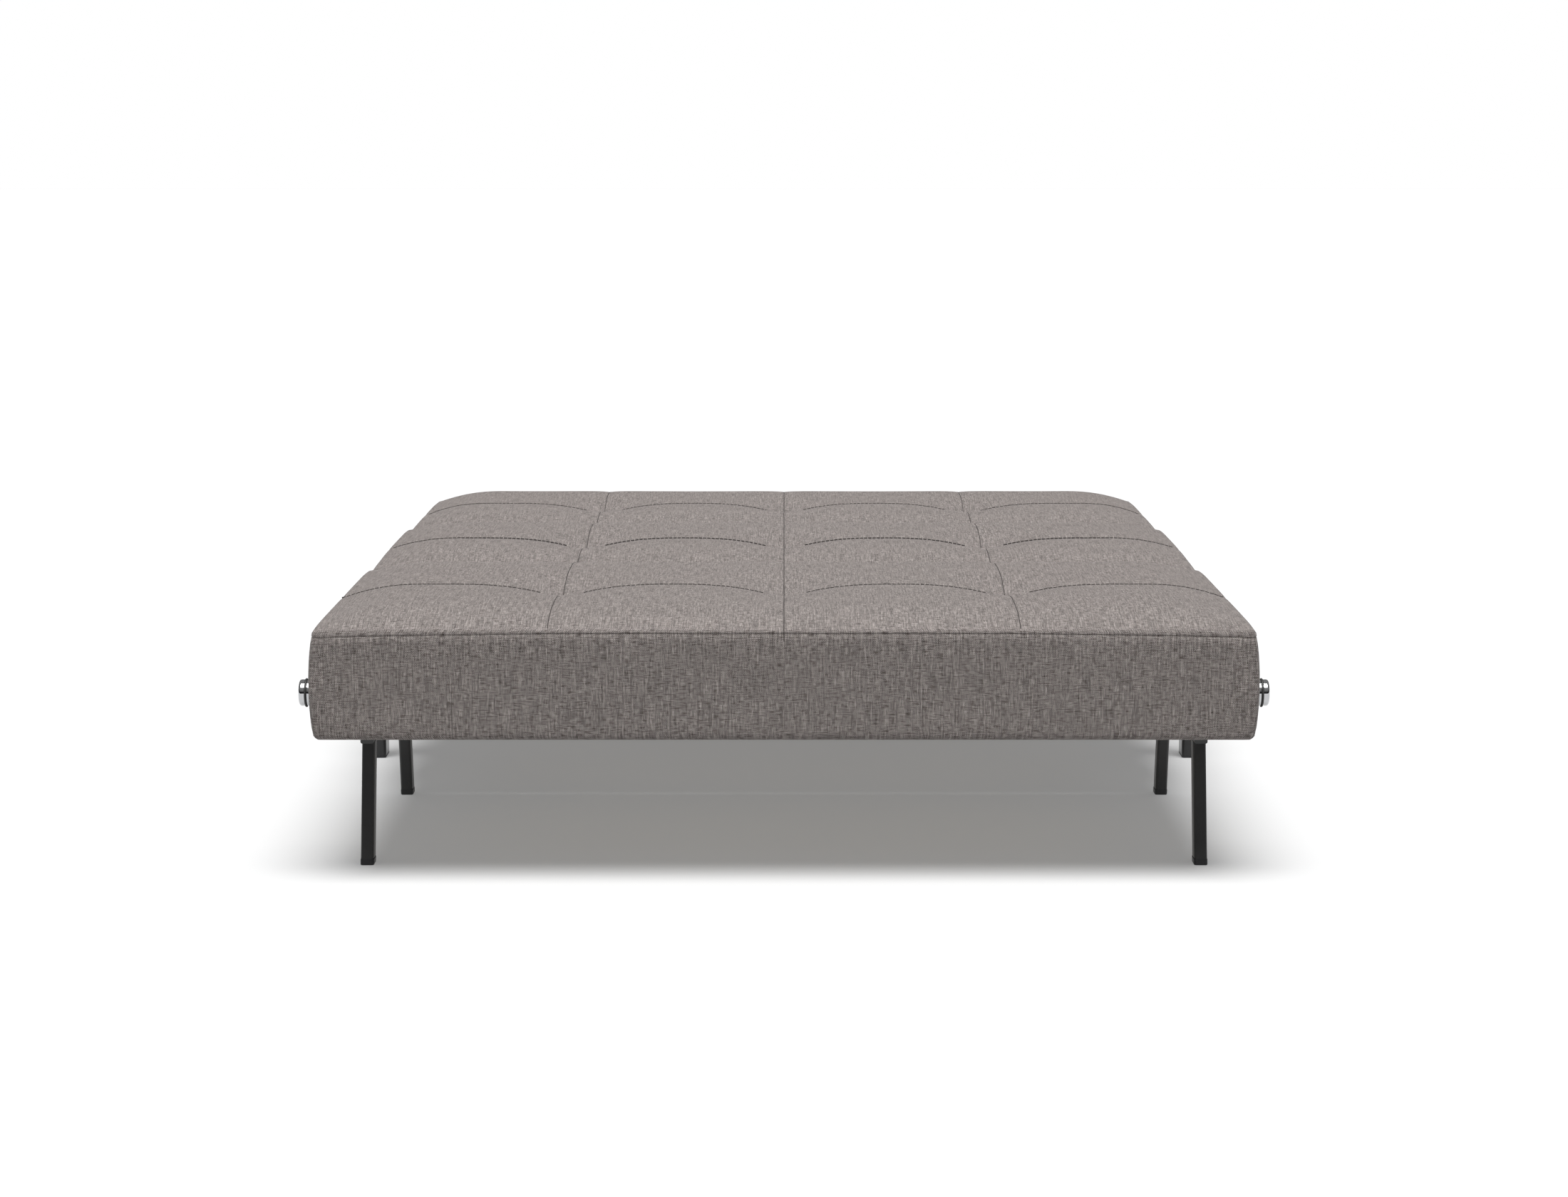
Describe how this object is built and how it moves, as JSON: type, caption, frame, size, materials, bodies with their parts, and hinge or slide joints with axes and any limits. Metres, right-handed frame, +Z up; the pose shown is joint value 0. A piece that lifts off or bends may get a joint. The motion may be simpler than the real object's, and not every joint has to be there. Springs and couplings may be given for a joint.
{
  "type": "futon sofa bed",
  "caption": "Fabric futon sofa bed shown flat as a bed: tufted sections hinged to each other on a black steel base with leaning legs, round chrome side studs and fold-down end legs.",
  "frame": {"origin": "on the floor, under the middle of the flat bed", "axes": "+Z up, -Y towards the front edge of the seat section, +Y towards the far end of the rear section, +X across the bed"},
  "size_m": [1.486, 2, 0.392],
  "materials": {
    "taupe_fabric": "matte",
    "foam": "matte",
    "wadding": "matte",
    "plywood": "satin",
    "black_steel": "matte",
    "gloss_black_steel": "gloss",
    "chrome": "polished",
    "black_rubber": "matte",
    "black_plastic": "satin",
    "zinc_steel": "satin"
  },
  "bodies": {
    "base_and_seat": {"extension_rail_left": "black_steel", "extension_rail_right": "black_steel", "front_cross_tube": "black_steel", "front_feet": "black_plastic", "front_leg_left": "black_steel", "front_leg_right": "black_steel", "middle_feet": "black_plastic", "middle_leg_left": "black_steel", "middle_leg_right": "black_steel", "pivot_bracket_left": "black_steel", "pivot_bracket_right": "black_steel", "pivot_pins": "zinc_steel", "pivot_washers": "black_plastic", "rear_cross_tube": "black_steel", "rear_leg_caps": "black_plastic", "rear_leg_glides": "black_plastic", "rear_leg_left": "gloss_black_steel", "rear_leg_right": "gloss_black_steel", "seat_cover": "taupe_fabric", "seat_edge_strips": "foam", "seat_foam": "foam", "seat_frame_ends": "black_steel", "seat_frame_sides": "black_steel", "seat_slats": "plywood", "seat_wadding": "wadding", "side_rail_left": "black_steel", "side_rail_right": "black_steel", "side_stud_left": "chrome", "side_stud_right": "chrome", "stud_plates": "zinc_steel", "stud_rings": "black_rubber"},
    "back_section": {"back_cover": "taupe_fabric", "back_edge_strips": "foam", "back_foam": "foam", "back_frame_ends": "black_steel", "back_frame_sides": "black_steel", "back_hinge_leaves": "zinc_steel", "back_plate_bolts": "zinc_steel", "back_plate_left": "black_steel", "back_plate_right": "black_steel", "back_slats": "plywood", "back_wadding": "wadding", "hinge_pins": "zinc_steel"},
    "rear_section": {"end_leg_bolts": "zinc_steel", "end_leg_washers": "black_plastic", "rear_cover": "taupe_fabric", "rear_edge_strips": "foam", "rear_foam": "foam", "rear_frame_ends": "black_steel", "rear_frame_sides": "black_steel", "rear_hinge_leaves": "zinc_steel", "rear_slats": "plywood", "rear_wadding": "wadding"},
    "end_legs": {"end_leg_crossbar": "black_steel", "end_leg_feet": "black_plastic", "end_leg_left": "black_steel", "end_leg_right": "black_steel"}
  },
  "joints": [
    {"name": "back_fold", "type": "hinge", "parent": "base_and_seat", "child": "back_section", "pos_m": [0, -0.164, 0.33], "axis": [1, 0, 0], "range_deg": [0, 82]},
    {"name": "rear_fold", "type": "hinge", "parent": "back_section", "child": "rear_section", "pos_m": [0, 0.365, 0.205], "axis": [1, 0, 0], "range_deg": [-180, 0]},
    {"name": "end_leg_fold", "type": "hinge", "parent": "rear_section", "child": "end_legs", "pos_m": [0, 0.8, 0.23], "axis": [1, 0, 0], "range_deg": [-90, 0]}
  ],
  "couplings": [
    {"joint": "rear_fold", "follows": "back_fold", "ratio": -2.195},
    {"joint": "end_leg_fold", "follows": "back_fold", "ratio": -1.0975}
  ]
}
